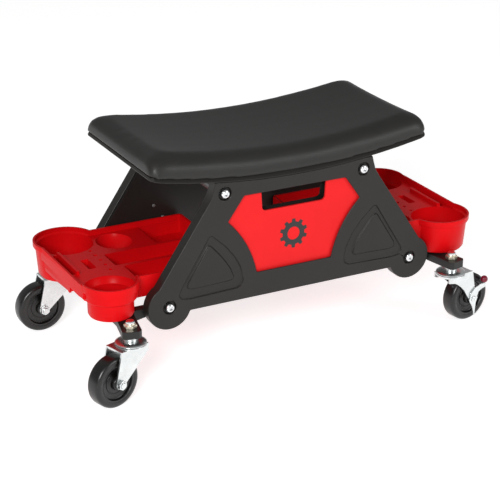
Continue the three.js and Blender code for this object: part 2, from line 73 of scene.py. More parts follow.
# Mesh helpers
def trace(start, *moves):
    """A closed flat face in the XZ plane. A move is a point, or an arc (centre x, z, degrees, steps)."""
    bm = bmesh.new()
    first = last = bm.verts.new((start[0], 0, start[1]))
    for move in moves:
        if len(move) == 2:
            last = bmesh.ops.extrude_vert_indiv(bm, verts=[last])["verts"][0]
            last.co = (move[0], 0, move[1])
        else:
            x, z, degrees, steps = move
            swept = bmesh.ops.spin(
                bm, geom=[last], cent=(x, 0, z), axis=(0, -1, 0), angle=math.radians(degrees), steps=steps,
                use_duplicate=False,
            )
            last = [v for v in swept["geom_last"] if isinstance(v, bmesh.types.BMVert)][0]
    if (first.co - last.co).length < 1e-4:
        bmesh.ops.pointmerge(bm, verts=[first, last], merge_co=first.co)
    else:
        bm.edges.new((last, first))
    bmesh.ops.contextual_create(bm, geom=bm.edges[:])
    return bm


def thicken(bm, front, back):
    """Gives a traced face its depth along Y, from front to back."""
    bmesh.ops.translate(bm, verts=bm.verts, vec=(0, front, 0))
    grown = bmesh.ops.extrude_face_region(bm, geom=bm.faces[:])
    new = [v for v in grown["geom"] if isinstance(v, bmesh.types.BMVert)]
    bmesh.ops.translate(bm, verts=new, vec=(0, back - front, 0))
    bmesh.ops.recalc_face_normals(bm, faces=bm.faces)
    return bm


def plate(front, back, start, *moves):
    return thicken(trace(start, *moves), front, back)


def column(low, high, start, *moves):
    """A prism along Z whose outline is traced in plan, as (x, y)."""
    bm = plate(low, high, start, *moves)
    swap = Matrix(((1, 0, 0, 0), (0, 0, 1, 0), (0, 1, 0, 0), (0, 0, 0, 1)))
    bmesh.ops.transform(bm, matrix=swap, verts=bm.verts)
    bmesh.ops.recalc_face_normals(bm, faces=bm.faces)
    return bm


def block(low, high, corner=0, draft=0):
    """A box from low to high whose upright edges are rounded and whose foot is smaller by draft."""
    bm = bmesh.new()
    bmesh.ops.create_cube(bm, size=1)
    size = [high[i] - low[i] for i in range(3)]
    middle = [(high[i] + low[i]) / 2 for i in range(3)]
    bmesh.ops.scale(bm, vec=size, verts=bm.verts)
    if corner:
        upright = [e for e in bm.edges if abs(e.verts[0].co.z - e.verts[1].co.z) > 1e-6]
        bmesh.ops.bevel(
            bm, geom=upright, offset=corner, segments=5, profile=0.5, affect="EDGES", material=-1,
        )
    if draft:
        foot = [v for v in bm.verts if v.co.z < 0]
        bmesh.ops.scale(bm, vec=(1 - 2 * draft / size[0], 1 - 2 * draft / size[1], 1), verts=foot)
    bmesh.ops.translate(bm, verts=bm.verts, vec=middle)
    bmesh.ops.recalc_face_normals(bm, faces=bm.faces)
    return bm


def turned(centre, profile, steps=64, closed=False):
    """A body of revolution about an upright axis. The profile lists (radius, height)."""
    bm = bmesh.new()
    first = last = bm.verts.new((profile[0][0], 0, profile[0][1]))
    for radius, z in profile[1:]:
        last = bmesh.ops.extrude_vert_indiv(bm, verts=[last])["verts"][0]
        last.co = (radius, 0, z)
    if closed:
        bm.edges.new((last, first))
    bmesh.ops.spin(
        bm, geom=bm.verts[:] + bm.edges[:], cent=(0, 0, 0), axis=(0, 0, 1), angle=2 * math.pi, steps=steps,
        use_merge=True,
    )
    bmesh.ops.remove_doubles(bm, verts=bm.verts, dist=1e-3)
    bmesh.ops.recalc_face_normals(bm, faces=bm.faces)
    bmesh.ops.translate(bm, verts=bm.verts, vec=(centre[0], centre[1], 0))
    return bm


def turned_along_y(x, z, profile, steps=48, closed=False):
    """A body of revolution about a level axis along Y. The profile lists (radius, y)."""
    bm = turned((0, 0), profile, steps, closed)
    bmesh.ops.rotate(bm, verts=bm.verts, cent=(0, 0, 0), matrix=Matrix.Rotation(math.radians(-90), 3, "X"))
    bmesh.ops.translate(bm, verts=bm.verts, vec=(x, 0, z))
    return bm


def hexagon(across_flats, low, high, chamfer=0.0):
    """A hexagonal prism along Z with its upper corners taken off."""
    bm = bmesh.new()
    bmesh.ops.create_circle(bm, cap_ends=True, radius=across_flats / math.sqrt(3), segments=6)
    bmesh.ops.translate(bm, verts=bm.verts, vec=(0, 0, low))
    grown = bmesh.ops.extrude_face_region(bm, geom=bm.faces[:])
    new = [v for v in grown["geom"] if isinstance(v, bmesh.types.BMVert)]
    bmesh.ops.translate(bm, verts=new, vec=(0, 0, high - low))
    bmesh.ops.recalc_face_normals(bm, faces=bm.faces)
    if chamfer:
        radius = across_flats / math.sqrt(3)
        cap = turned((0, 0), [
            (0, low - 1), (radius + 2, low - 1), (radius + 2, high - chamfer - 1.2),
            (radius - chamfer * 1.8, high + 0.05), (0, high + 0.05),
        ])
        bm = combined(bm, cap, operation="INTERSECT")
    return bm


def as_object(bm):
    mesh = bpy.data.meshes.new("working")
    bm.to_mesh(mesh)
    bm.free()
    obj = bpy.data.objects.new("working", mesh)
    bpy.context.scene.collection.objects.link(obj)
    return obj


def settled(obj):
    """The object's mesh with its modifiers applied, as a new bmesh. The object is removed."""
    graph = bpy.context.evaluated_depsgraph_get()
    bm = bmesh.new()
    bm.from_object(obj, graph)
    mesh = obj.data
    bpy.data.objects.remove(obj)
    bpy.data.meshes.remove(mesh)
    return bm


def combined(body, *tools, operation="DIFFERENCE"):
    """The body with every tool cut away, added or kept in common."""
    base = as_object(body)
    others = [as_object(tool) for tool in tools]
    for other in others:
        modifier = base.modifiers.new("shape", "BOOLEAN")
        modifier.operation = operation
        modifier.solver = "EXACT"
        modifier.object = other
    bpy.context.view_layer.update()
    bm = settled(base)
    for other in others:
        mesh = other.data
        bpy.data.objects.remove(other)
        bpy.data.meshes.remove(mesh)
    bmesh.ops.remove_doubles(bm, verts=bm.verts, dist=2e-3)
    bmesh.ops.dissolve_limit(bm, angle_limit=math.radians(0.6), verts=bm.verts, edges=bm.edges)
    return bm


def softened(node):
    """A merged copy of a frame node, in the drawing's millimetres, ready for rounded edges."""
    bm = bmesh.new()
    bm.from_mesh(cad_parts[node].data)
    bmesh.ops.transform(bm, matrix=Matrix.Translation((0, 0, FLOOR)) @ Matrix.Scale(1000, 4), verts=bm.verts)
    bmesh.ops.remove_doubles(bm, verts=bm.verts, dist=5e-3)
    bmesh.ops.dissolve_limit(bm, angle_limit=math.radians(1), verts=bm.verts, edges=bm.edges)
    return bm


def half_turn(bm):
    """A copy of the mesh turned half round about Z, for the opposite side of the seat."""
    other = bm.copy()
    bmesh.ops.rotate(other, verts=other.verts, cent=(0, 0, 0), matrix=Matrix.Rotation(math.pi, 3, "Z"))
    return other


def finish_piece(name, bm, material, body, nodes=(), edge=0.0, angle=30, segments=3, clamp=True):
    """Puts a drawn mesh in its place in metres and gives it its edges (in mm), finish and body."""
    place = Matrix.Scale(0.001, 4) @ Matrix.Translation((0, 0, -FLOOR))
    bmesh.ops.transform(bm, matrix=place, verts=bm.verts)
    mesh = bpy.data.meshes.new(name)
    bm.to_mesh(mesh)
    bm.free()
    mesh.shade_smooth()
    mesh.set_sharp_from_angle(angle=math.radians(angle))
    mesh.materials.append(material)
    obj = bpy.data.objects.new(name, mesh)
    bpy.context.scene.collection.objects.link(obj)
    if edge:
        bevel = obj.modifiers.new("rounded edges", "BEVEL")
        bevel.width = edge / 1000
        bevel.segments = segments
        bevel.limit_method = "ANGLE"
        bevel.angle_limit = math.radians(angle)
        bevel.harden_normals = True
        bevel.use_clamp_overlap = clamp
        bevel.miter_outer = "MITER_ARC"
    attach(obj, body)
    if nodes:
        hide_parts(*nodes)
    return obj


# Finishes
def shader(name):
    material = bpy.data.materials.new(name)
    material.use_nodes = True
    return material, material.node_tree.nodes, material.node_tree.links


def noise(nodes, links, scale, detail=3.0, roughness=0.55, stretch=(1, 1, 1)):
    """Noise on Object coordinates, in features per metre."""
    place = nodes.new("ShaderNodeTexCoord")
    mapping = nodes.new("ShaderNodeMapping")
    mapping.inputs["Scale"].default_value = stretch
    texture = nodes.new("ShaderNodeTexNoise")
    texture.inputs["Scale"].default_value = scale
    texture.inputs["Detail"].default_value = detail
    texture.inputs["Roughness"].default_value = roughness
    links.new(place.outputs["Object"], mapping.inputs["Vector"])
    links.new(mapping.outputs["Vector"], texture.inputs["Vector"])
    return texture


def ramp(nodes, links, source, low, high):
    """Maps a texture's middle range onto two values."""
    node = nodes.new("ShaderNodeMapRange")
    node.inputs["From Min"].default_value = 0.3
    node.inputs["From Max"].default_value = 0.7
    node.inputs["To Min"].default_value = low
    node.inputs["To Max"].default_value = high
    links.new(source.outputs["Fac"], node.inputs["Value"])
    return node


def make_finish(
    name, colour, roughness, metallic=0.0, specular=0.5, spread=0.1, grain=900, relief=0.00004, patch=18,
    stretch=(1, 1, 1), strength=0.35,
):
    """A coloured finish with slow colour variation, fine grain relief and uneven gloss."""
    material, nodes, links = shader(name)
    surface = nodes["Principled BSDF"]
    surface.inputs["Metallic"].default_value = metallic
    surface.inputs["Specular IOR Level"].default_value = specular
    slow = noise(nodes, links, patch, 4.0, 0.6)
    fine = noise(nodes, links, grain, 2.0, 0.5, stretch)
    mix = nodes.new("ShaderNodeMix")
    mix.data_type = "RGBA"
    mix.inputs["A"].default_value = (*[c * (1 - spread) for c in colour], 1)
    mix.inputs["B"].default_value = (*[min(1, c * (1 + spread)) for c in colour], 1)
    links.new(ramp(nodes, links, slow, 0, 1).outputs["Result"], mix.inputs["Factor"])
    links.new(mix.outputs["Result"], surface.inputs["Base Color"])
    gloss = ramp(nodes, links, fine, roughness - 0.06, roughness + 0.06)
    links.new(gloss.outputs["Result"], surface.inputs["Roughness"])
    bump = nodes.new("ShaderNodeBump")
    bump.inputs["Strength"].default_value = strength
    bump.inputs["Distance"].default_value = relief
    links.new(fine.outputs["Fac"], bump.inputs["Height"])
    links.new(bump.outputs["Normal"], surface.inputs["Normal"])
    return material


def paint(node, material):
    """Gives a frame node its finish."""
    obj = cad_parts[node]
    obj.data.materials.clear()
    obj.data.materials.append(material)


class CreeperSizes(bpy.types.PropertyGroup):
    """Sizes a user would change, none of which moves a piece."""

    frame_edge: FloatProperty(
        name="Frame edge", description="Rounding of the side frames' edges", default=0.0016, min=0, max=0.004,
        subtype="DISTANCE", unit="LENGTH",
    )
    tray_edge: FloatProperty(
        name="Tray edge", description="Rounding of the trays' edges", default=0.0011, min=0, max=0.003,
        subtype="DISTANCE", unit="LENGTH",
    )
    metal_edge: FloatProperty(
        name="Metal edge", description="Rounding of the steel pieces' edges", default=0.0006, min=0,
        max=0.002, subtype="DISTANCE", unit="LENGTH",
    )
    seat_puff: FloatProperty(
        name="Seat puff", description="How far the foam may swell from its drawn shape", default=0.0015,
        min=0.0005, max=0.012, subtype="DISTANCE", unit="LENGTH",
    )


class CreeperColours(bpy.types.PropertyGroup):
    """Colours of the finishes."""

    black: FloatVectorProperty(
        name="Moulded black", description="Side frames, seat pan and liners",
        default=(0.0125, 0.0112, 0.0098), size=3, min=0, max=1, subtype="COLOR",
    )
    skin: FloatVectorProperty(
        name="Seat skin", description="Skin of the seat cushion", default=(0.016, 0.0155, 0.0145), size=3,
        min=0, max=1, subtype="COLOR",
    )
    panel: FloatVectorProperty(
        name="Panel red", description="Recessed side panels", default=(0.66, 0.013, 0.015), size=3, min=0,
        max=1, subtype="COLOR",
    )
    tray: FloatVectorProperty(
        name="Tray red", description="Tool trays", default=(0.60, 0.003, 0.005), size=3, min=0, max=1,
        subtype="COLOR",
    )
    zinc: FloatVectorProperty(
        name="Zinc", description="Plated caster steel", default=(0.72, 0.75, 0.75), size=3, min=0, max=1,
        subtype="COLOR",
    )


def build_finishes():
    colours = bpy.context.scene.creeper_colours
    return {
        "moulded": make_finish(
            "Moulded black", colours.black, 0.42, specular=0.32, spread=0.08, grain=1500, relief=0.00006,
        ),
        "skin": make_finish(
            "Seat skin", colours.skin, 0.42, specular=0.3, spread=0.07, grain=2100, relief=0.00007,
            strength=0.5,
        ),
        "panel": make_finish(
            "Panel red", colours.panel, 0.42, specular=0.1, spread=0.03, grain=1300, relief=0.00003,
        ),
        "tray": make_finish(
            "Tray red", colours.tray, 0.32, specular=0.07, spread=0.05, grain=1100, relief=0.00002, patch=25,
        ),
        "coated": make_finish(
            "Black powder coat", (0.012, 0.0115, 0.011), 0.42, specular=0.35, spread=0.12, grain=2600,
            relief=0.00005, strength=0.6,
        ),
        "tube": make_finish("Grey tube paint", (0.13, 0.13, 0.13), 0.4, metallic=0.3, spread=0.1, grain=2200),
        "zinc": make_finish(
            "Zinc plate", colours.zinc, 0.3, metallic=1.0, spread=0.07, grain=700, relief=0.00002, patch=60,
            stretch=(1, 1, 5),
        ),
        "bolt": make_finish(
            "Bright bolt", (0.78, 0.79, 0.80), 0.22, metallic=1.0, spread=0.05, grain=900, relief=0.00001,
            patch=80,
        ),
        "nut": make_finish(
            "Yellow zinc nut", (0.72, 0.66, 0.52), 0.3, metallic=0.9, spread=0.1, grain=900, relief=0.00002,
            patch=90,
        ),
        "rubber": make_finish(
            "Wheel rubber", (0.004, 0.0038, 0.0035), 0.3, specular=0.5, spread=0.15, grain=1400,
            relief=0.00005, patch=40,
        ),
        "cap": make_finish(
            "Dipped lever ball", (0.16, 0.003, 0.018), 0.28, spread=0.1, grain=800, patch=120, relief=0.00001,
        ),
        # Dark red that stands in for shade: painted shade for the panels' inner faces, seen through the hand
        # hold
        "panel_back_painted_shade": make_finish("Panel back, painted shade", (0.05, 0.002, 0.002), 0.6, specular=0.1, grain=1300),
        "mark": make_finish("Printed black mark", (0.012, 0.012, 0.012), 0.5, spread=0.1, grain=1500),
    }


FINISH = {}


def finish_named(name):
    if not FINISH:
        FINISH.update(build_finishes())
    return FINISH[name]


def sizes():
    return bpy.context.scene.creeper_sizes


# Side frames
def window(margin, front, back):
    """The window's outline as a plate, grown by a margin."""
    top = 256.5 + margin
    foot = 141.7 - margin
    side = 103 + 1.2 * margin
    curve_x = [68.5 + 0.9 * margin, 58.5 + 0.8 * margin]
    points = []
    for step in range(1, 9):
        t = step / 8
        x = (1 - t) ** 2 * side + 2 * t * (1 - t) * curve_x[0] + t * t * curve_x[1]
        z = (1 - t) ** 2 * 223 + 2 * t * (1 - t) * (189.1 - 0.4 * margin) + t * t * foot
        points.append((x, z))
    right = [(79 + 0.6 * margin, top), (side, 223), *points]
    left = [(-x, z) for x, z in reversed(right)]
    return plate(front, back, right[0], *right[1:], *left)


def frame_outline():
    """Moves that trace the side frame, from its upper left corner. Its lower lobes have a radius of 32."""
    tops = [(x, SEAT_UNDERSIDE + SEAT_CURVE * x * x - 0.3) for x in range(-120, 121, 12)]
    lobe = math.degrees(math.atan2(27.9, 15.6))
    foot = 180 - math.degrees(math.asin(10.2 / 32))
    sweep = -lobe - foot
    x, z = LOWER_BOLT
    return [
        (-121.5, 281.8), *tops, (121.5, 281.8), (124.4, 271), (127.5, 260.5), (134, 250), (205.8, 143.6),
        (x, z, sweep, 40), (-159.9, 105.5), (-x, z, sweep, 40), (-134, 250), (-127.5, 260.5), (-124.4, 271),
    ]


def gusset(inner, front, back):
    """One of the frame's three-cornered ribs: the groove's outer or inner line."""
    if inner:
        moves = [
            (-129, 193.5), (-116.5, 179.5), (-106, 165.8), (-98.6, 154.3), (-94.5, 143), (-95, 139.3),
            (-99, 137.5), (-155, 136), (-161.5, 137.4), (-164, 140.6), (-162.8, 145.3), (-133.6, 191.6),
            (-131.6, 193.8),
        ]
    else:
        moves = [
            (-125.4, 206), (-106.4, 188.3), (-92.3, 170.6), (-83.4, 153), (-79.6, 135.6), (-81.6, 128.2),
            (-89.2, 124.6), (-160, 122.6), (-171.6, 124), (-176.2, 129), (-174.1, 136.4), (-131.6, 205.2),
            (-128.6, 207.4),
        ]
    return plate(front, back, *moves)


def side_frame():
    """The front side frame, with its window, ribs and bolt seats."""
    outline = frame_outline()
    body = plate(-OUTER_Y, -INNER_Y, *outline)
    tools = [window(0, -OUTER_Y - 1, -INNER_Y + 1), window(4, -OUTER_Y + 2.7, -INNER_Y + 1)]
    for side in (-1, 1):
        ring = combined(gusset(False, -OUTER_Y - 1, -OUTER_Y + 2.2), gusset(True, -OUTER_Y - 2, -OUTER_Y + 4))
        if side == 1:
            bmesh.ops.scale(ring, vec=(-1, 1, 1), verts=ring.verts)
            bmesh.ops.recalc_face_normals(ring, faces=ring.faces)
        tools.append(ring)
    for x, z in bolt_places():
        tools.append(turned_along_y(x, z, [(0, -118), (9.6, -118), (9.2, BOLT_SEAT), (0, BOLT_SEAT)]))
        tools.append(turned_along_y(x, z, [(0, -118), (4.6, -118), (4.6, -90), (0, -90)], 24))
    return combined(body, *tools)


def bolt_places():
    return [(side * x, z) for x, z in (UPPER_BOLT, LOWER_BOLT) for side in (-1, 1)]


def hand_hold(front, back):
    """The hand hold's outline, with rounded lower corners."""
    return plate(
        front, back, (-51, 266), (-49, 234), (-43, 234, 90, 8), (43, 228), (43, 234, 90, 8), (51, 266),
    )


def red_panel():
    """The front panel, recessed in the window, with its hand hold."""
    return combined(window(3.7, *PANEL_FACES), hand_hold(-120, -100))


def panel_mark():
    """A plain toothed ring printed in the middle of the panel."""
    middle = 187
    front, back = MARK_FACES
    ring = combined(
        turned_along_y(0, middle, [(0, front), (17, front), (17, back), (0, back)], 64),
        turned_along_y(0, middle, [(0, -112), (9.5, -112), (9.5, -108), (0, -108)], 64),
    )
    teeth = []
    for step in range(10):
        tooth = plate(front, back, (-3.4, 15), (-2.4, 21.5), (2.4, 21.5), (3.4, 15))
        turn = Matrix.Rotation(step * math.pi / 5, 3, "Y")
        bmesh.ops.rotate(tooth, verts=tooth.verts, cent=(0, 0, 0), matrix=turn)
        bmesh.ops.translate(tooth, verts=tooth.verts, vec=(0, 0, middle))
        teeth.append(tooth)
    return combined(ring, *teeth, operation="UNION")


class CREEPER_OT_side_frames(bpy.types.Operator):
    """Builds both side frames and finishes their liners"""

    bl_idname = "creeper.side_frames"
    bl_label = "Side Frames"

    def execute(self, context):
        body = side_frame()
        edge = sizes().frame_edge * 1000
        black = finish_named("moulded")
        for name, bm in (("front", body), ("rear", half_turn(body))):
            finish_piece(
                f"side_frame_{name}_look", bm, black, "root", [f"side_frame_{name}"],
                edge=edge, angle=32, clamp=False,
            )
            paint(f"frame_liner_{name}", black)
        head = [(0, 92.2), (1.6, 92.4), (2.4, 93), (2.6, 93.8), (0, 93.8)]
        screws, other = [turned_along_y(x, z, head, 24) for x, z in ((-118, 178), (-104, 158))]
        mesh = bpy.data.meshes.new("working")
        other.to_mesh(mesh)
        screws.from_mesh(mesh)
        other.free()
        bpy.data.meshes.remove(mesh)
        finish_piece("liner_screws_rear", screws, finish_named("tube"), "root")
        return {"FINISHED"}


class CREEPER_OT_panels(bpy.types.Operator):
    """Builds the red panels and their plain printed mark"""

    bl_idname = "creeper.panels"
    bl_label = "Panels"

    def execute(self, context):
        body = red_panel()
        mark = panel_mark()
        for name, bm in (("front", body), ("rear", half_turn(body))):
            # The panel's inner faces take a dark red: painted shade for the inside of the frame seen through
            # the hand hold
            behind = 0.5 - PANEL_FACES[1]
            inner = [f for f in bm.faces if all(abs(v.co.y) < behind for v in f.verts)]
            for face in inner:
                face.material_index = 1
            panel = finish_piece(
                f"red_panel_{name}_look", bm, finish_named("panel"), "root",
                [f"red_panel_{name}"], edge=0.9, angle=32,
            )
            panel.data.materials.append(finish_named("panel_back_painted_shade"))
        for name, bm in (("front", mark), ("rear", half_turn(mark))):
            finish_piece(f"panel_mark_{name}", bm, finish_named("mark"), "root")
        return {"FINISHED"}


def button_bolt(x, z):
    """A button-head bolt with a hexagon socket, over a washer."""
    head = turned_along_y(x, z, [
        (0, -117.2), (3.6, -117.2), (4.6, -116.9), (5.6, -116.0), (6.3, -114.6), (6.5, -113.4),
        (6.5, BOLT_SEAT - 0.3), (4, BOLT_SEAT - 0.3), (4, -70), (0, -70),
    ])
    socket = hexagon(5.6, -1, 2.8)
    bmesh.ops.rotate(socket, verts=socket.verts, cent=(0, 0, 0), matrix=Matrix.Rotation(-math.pi / 2, 3, "X"))
    bmesh.ops.translate(socket, verts=socket.verts, vec=(x, -117.4, z))
    return combined(head, socket)


class CREEPER_OT_fasteners(bpy.types.Operator):
    """Builds the frame bolts and finishes the tubes between the side frames"""

    bl_idname = "creeper.fasteners"
    bl_label = "Bolts and Tubes"

    def execute(self, context):
        for x, z in bolt_places():
            level = "upper" if z == UPPER_BOLT[1] else "lower"
            end = "first" if x < 0 else "second"
            bolt = button_bolt(x, z)
            for name, bm in (("front", bolt), ("rear", half_turn(bolt))):
                node = f"frame_bolt_{name}_{level}_{end}"
                finish_piece(
                    f"{node}_look", bm, finish_named("bolt"), "root", [node],
                    edge=0.25, segments=2,
                )
        for level in ("upper", "lower"):
            for side in ("left", "right"):
                paint(f"cross_tube_{level}_{side}", finish_named("tube"))
        return {"FINISHED"}


# Seat
def above_pan(place):
    """How far a point in metres stands above the pan's curved top."""
    return place.z - (SEAT_UNDERSIDE + PAN_THICKNESS + 1000 * SEAT_CURVE * 1000 * place.x * place.x) / 1000


def swollen(obj, puff):
    """Swells a closed skin with a short pressure run, and caps how far each point may go."""
    start = [v.co.copy() for v in obj.data.vertices]
    cloth = obj.modifiers.new("swell", "CLOTH")
    cloth.settings.use_pressure = True
    cloth.settings.uniform_pressure_force = 4
    cloth.settings.effector_weights.gravity = 0
    cloth.settings.quality = 4
    scene = bpy.context.scene
    for step in range(1, 21):
        scene.frame_set(step)
    bm = bmesh.new()
    bm.from_object(obj, bpy.context.evaluated_depsgraph_get())
    obj.modifiers.clear()
    bm.verts.ensure_lookup_table()
    for vert, place in zip(bm.verts, start):
        away = vert.co - place
        limit = puff * min(1, max(0, above_pan(place) / 0.005))
        if away.length > limit:
            vert.co = place + away.normalized() * limit
    scene.frame_set(1)
    return bm


class CREEPER_OT_cushion(bpy.types.Operator):
    """Builds the padded seat and finishes the pan under it"""

    bl_idname = "creeper.cushion"
    bl_label = "Seat Cushion"

    def execute(self, context):
        bm = softened("seat_cushion")
        bmesh.ops.triangulate(bm, faces=bm.faces)
        # A thousandth lower, which leaves room for the skin to swell within the frame's box.
        bmesh.ops.scale(bm, vec=(0.001, 0.001, 0.000999), verts=bm.verts)
        work = as_object(bm)
        remesh = work.modifiers.new("remesh", "REMESH")
        remesh.mode = "VOXEL"
        remesh.voxel_size = 0.004
        bpy.context.view_layer.update()
        even = as_object(settled(work))
        bm = swollen(even, sizes().seat_puff)
        bpy.data.objects.remove(even)
        upper = [v for v in bm.verts if above_pan(v.co) > 0.0025]
        for _ in range(2):
            bmesh.ops.smooth_vert(
                bm, verts=upper, factor=0.5, use_axis_x=True, use_axis_y=True, use_axis_z=True,
            )
        bmesh.ops.scale(bm, vec=(1000, 1000, 1000), verts=bm.verts)
        cushion = finish_piece(
            "seat_cushion_look", bm, finish_named("skin"), "root", ["seat_cushion"], angle=180,
        )
        smooth = cushion.modifiers.new("smooth skin", "SUBSURF")
        smooth.levels = 1
        smooth.render_levels = 1
        paint("seat_pan", finish_named("moulded"))
        return {"FINISHED"}


# Trays, drawn for the left end
BIN = (-263.5, 75.5)
CUP = (-264.5, -88)
DECK = 152


def tray_plan(low, high):
    return column(
        low, high, (-304.8, 62), (-304.8, -76), (-303.2, -88), (-264.5, -92.8), (-81, -92.8), (-77, -89),
        (-77, 86), (-81, 90), (-263, 90),
    )


def tray_shell():
    """The tray's outside: rim, deck block, bin, skirt and front ledge."""
    rim = tray_plan(141.5, 160)
    bin_rim = turned(BIN, [(0, 151.5), (44.6, 151.5), (45.3, 153), (45.3, 160), (0, 160)])
    base = block((-301, -88, 130), (-77.6, 89.4, 145), 2)
    bin_body = turned(BIN, [(0, 108), (32, 108), (36.5, 109.2), (39.2, 113), (42.3, 153), (0, 153)])
    skirt = plate(
        0, 3.2, (58, 150), (-69, 150), (-69, 138), (-37, 138), (-33.5, 136), (-32, 127.5), (-30, 127.5),
        (-26, 129), (30, 125), (58, 125),
    )
    bmesh.ops.rotate(skirt, verts=skirt.verts, cent=(0, 0, 0), matrix=Matrix.Rotation(math.pi / 2, 3, "Z"))
    bmesh.ops.translate(skirt, verts=skirt.verts, vec=(-297.8, 0, 0))
    ledge = block((-264.5, -92.8, 130), (-77.6, -80, 145))
    cup_rim = turned(CUP, [(0, 150.6), (38.6, 150.6), (38.6, 161.5), (0, 161.5)])
    body = combined(base, bin_body, skirt, ledge, operation="UNION")
    body = combined(body, block((-310, -90, 120), (-285, -34, 138)))
    return combined(body, rim, bin_rim, cup_rim, operation="UNION")


def tray_hollows():
    """Everything pressed or cut into the deck."""
    hollows = [
        block((-302, -30, 142.5), (-290, 41.5, 170), 2),
        block((-268, -23, 134), (-256, 11, 154), 1.5, 3.5),
        block((-148.5, 20.5, 133), (-80, 86, 170), 3, 0.8),
        block((-231, -27, 133), (-80, 15.5, 170), 3, 0.8),
        block((-222, -89.8, 133), (-80, -33, 170), 3, 0.8),
    ]
    for y in (36, 18, 0, -18, -36):
        hollows.append(turned((-242, y), [(0, 125), (2.7, 125), (2.7, 170), (0, 170)], 20))
    radius, depth = 25.5, 17
    ball = (radius ** 2 + depth ** 2) / (2 * depth)
    low = DECK - depth
    arc = [
        (ball * math.sin(math.radians(a)), low + ball * (1 - math.cos(math.radians(a))))
        for a in (0, 9, 18, 27, 36, 45, 54, 62)
    ]
    dish = turned((0, 0), [*arc, (radius, DECK), (radius, 170), (0, 170)], 48)
    bmesh.ops.scale(dish, vec=(1, 1.12, 1), verts=dish.verts)
    bmesh.ops.translate(dish, verts=dish.verts, vec=(-198.5, 54, 0))
    return [*hollows, dish]


def tray():
    """The left tool tray."""
    deck = block((-302, -89.8, DECK), (-80, 87, 170), 3)
    body = combined(tray_shell(), deck)
    body = combined(body, block((-289.8, -34, 149), (-285.5, 44, 157), 1.5), operation="UNION")
    body = combined(body, *tray_hollows())
    cup_body = turned(CUP, [
        (0, 112.5), (26, 112.5), (29.5, 113.6), (31, 116.5), (31.3, 137), (35.4, 138.2), (36, 139),
        (36.4, DECK), (0, DECK),
    ])
    cup_inner = turned(CUP, [
        (0, 115.5), (25, 115.5), (27.4, 117), (28.3, 141), (32.6, 141.4), (33.4, 142.2), (35.9, 153.4),
        (35.9, 175), (0, 175),
    ])
    bin_inner = turned(BIN, [
        (0, 111), (32.5, 111), (36, 112.6), (37.5, 116), (39.8, DECK), (42.3, 154), (42.6, 175), (0, 175),
    ])
    bosses = [turned((-STEM[0], y), [(0, 107.3), (6, 107.3), (6, 131), (0, 131)], 24) for y in (-20, 20)]
    body = combined(body, cup_body, operation="UNION")
    body = combined(body, cup_inner, bin_inner)
    return combined(body, *bosses, operation="UNION")


class CREEPER_OT_trays(bpy.types.Operator):
    """Builds both tool trays"""

    bl_idname = "creeper.trays"
    bl_label = "Tool Trays"

    def execute(self, context):
        body = tray()
        for name, bm in (("left", body), ("right", half_turn(body))):
            finish_piece(
                f"tool_tray_{name}_look", bm, finish_named("tray"), "root", [f"tool_tray_{name}"],
                edge=sizes().tray_edge * 1000, angle=34,
            )
        return {"FINISHED"}


class CREEPER_OT_carriers(bpy.types.Operator):
    """Finishes the steel bars that carry the trays and casters"""

    bl_idname = "creeper.carriers"
    bl_label = "Crossbars and Arms"

    def execute(self, context):
        names = []
        for side in ("left", "right"):
            names += [f"crossbar_{side}", f"carrier_arm_{side}_first", f"carrier_arm_{side}_second"]
        for name in names:
            finish_piece(
                f"{name}_look", softened(name), finish_named("coated"), "root",
                [name], edge=0.9,
            )
        return {"FINISHED"}


# Casters, drawn with the stem on the Z axis and the wheel trailing along +X
def caster_place(bm, name, swivels):
    """Turns a caster piece to its swivel's angle and sets it under its stem."""
    sx, sy = SIDES[name]
    angle = math.radians(SWIVELS[name]) if swivels else 0
    place = Matrix.Translation((sx * STEM[0], sy * STEM[1], 0)) @ Matrix.Rotation(angle, 4, "Z")
    placed = bm.copy()
    bmesh.ops.transform(placed, matrix=place, verts=placed.verts)
    return placed


def stem_and_race():
    return turned((0, 0), [
        (0, 77.4), (5.6, 77.4), (7, 78.6), (7, 81.7), (4, 81.7), (4, 85.3), (20.6, 85.3), (21.3, 85.9),
        (21.3, 86.7), (20.4, 87.5), (17.6, 88.5), (13.5, 88.9), (9.6, 89.0), (9.3, 89.3), (9.3, 94.9),
        (8.8, 95.6), (6, 95.7), (6, 107), (5.7, 107.4), (6, 107.8), (6, 116), (5, 117), (0, 117),
    ])


def stem_nut():
    """A hexagon nut with a rounded collar that stands round the stem."""
    nut = hexagon(15.5, 107.3, 112.2, 0.9)
    collar = turned((0, 0), [(0, 111), (6.9, 111), (6.9, 112.8), (6.2, 114.2), (0, 114.2)])
    bore = turned((0, 0), [(0, 100), (6.2, 100), (6.2, 120), (0, 120)])
    return combined(combined(nut, collar, operation="UNION"), bore)


def fork(braked):
    """A pressed fork: a flat crown with a leg on each side of the wheel."""
    inner, outer = LEG_FACES
    if braked:
        moves = [
            (-17, 85), (30, 85), (38.6, 44), (TRAIL, AXLE, -140, 14), (20.5, 47.6), (14.6, 57), (8, 64),
            (0, 70.5), (-6, 73.8), (-17, 76.2),
        ]
    else:
        moves = [(-17, 85), (29, 85), (39, 42.4), (TRAIL, AXLE, -170, 18), (-17, 75)]
    legs = [plate(front, back, *moves) for front, back in ((-outer, -inner), (inner, outer))]
    crown = turned((0, 0), [(0, 82), (21.3, 82), (21.5, 82.3), (21.5, 84.6), (21.2, 85), (0, 85)])
    deck = block((-13, -outer + 0.4, 82), (29, outer - 0.4, 85))
    body = combined(crown, deck, *legs, operation="UNION")
    hole = turned_along_y(TRAIL, AXLE, [(0, -20), (4.35, -20), (4.35, 20), (0, 20)], 24)
    pin = turned((0, 0), [(0, 80), (4.4, 80), (4.4, 90), (0, 90)], 24)
    return combined(body, hole, pin)


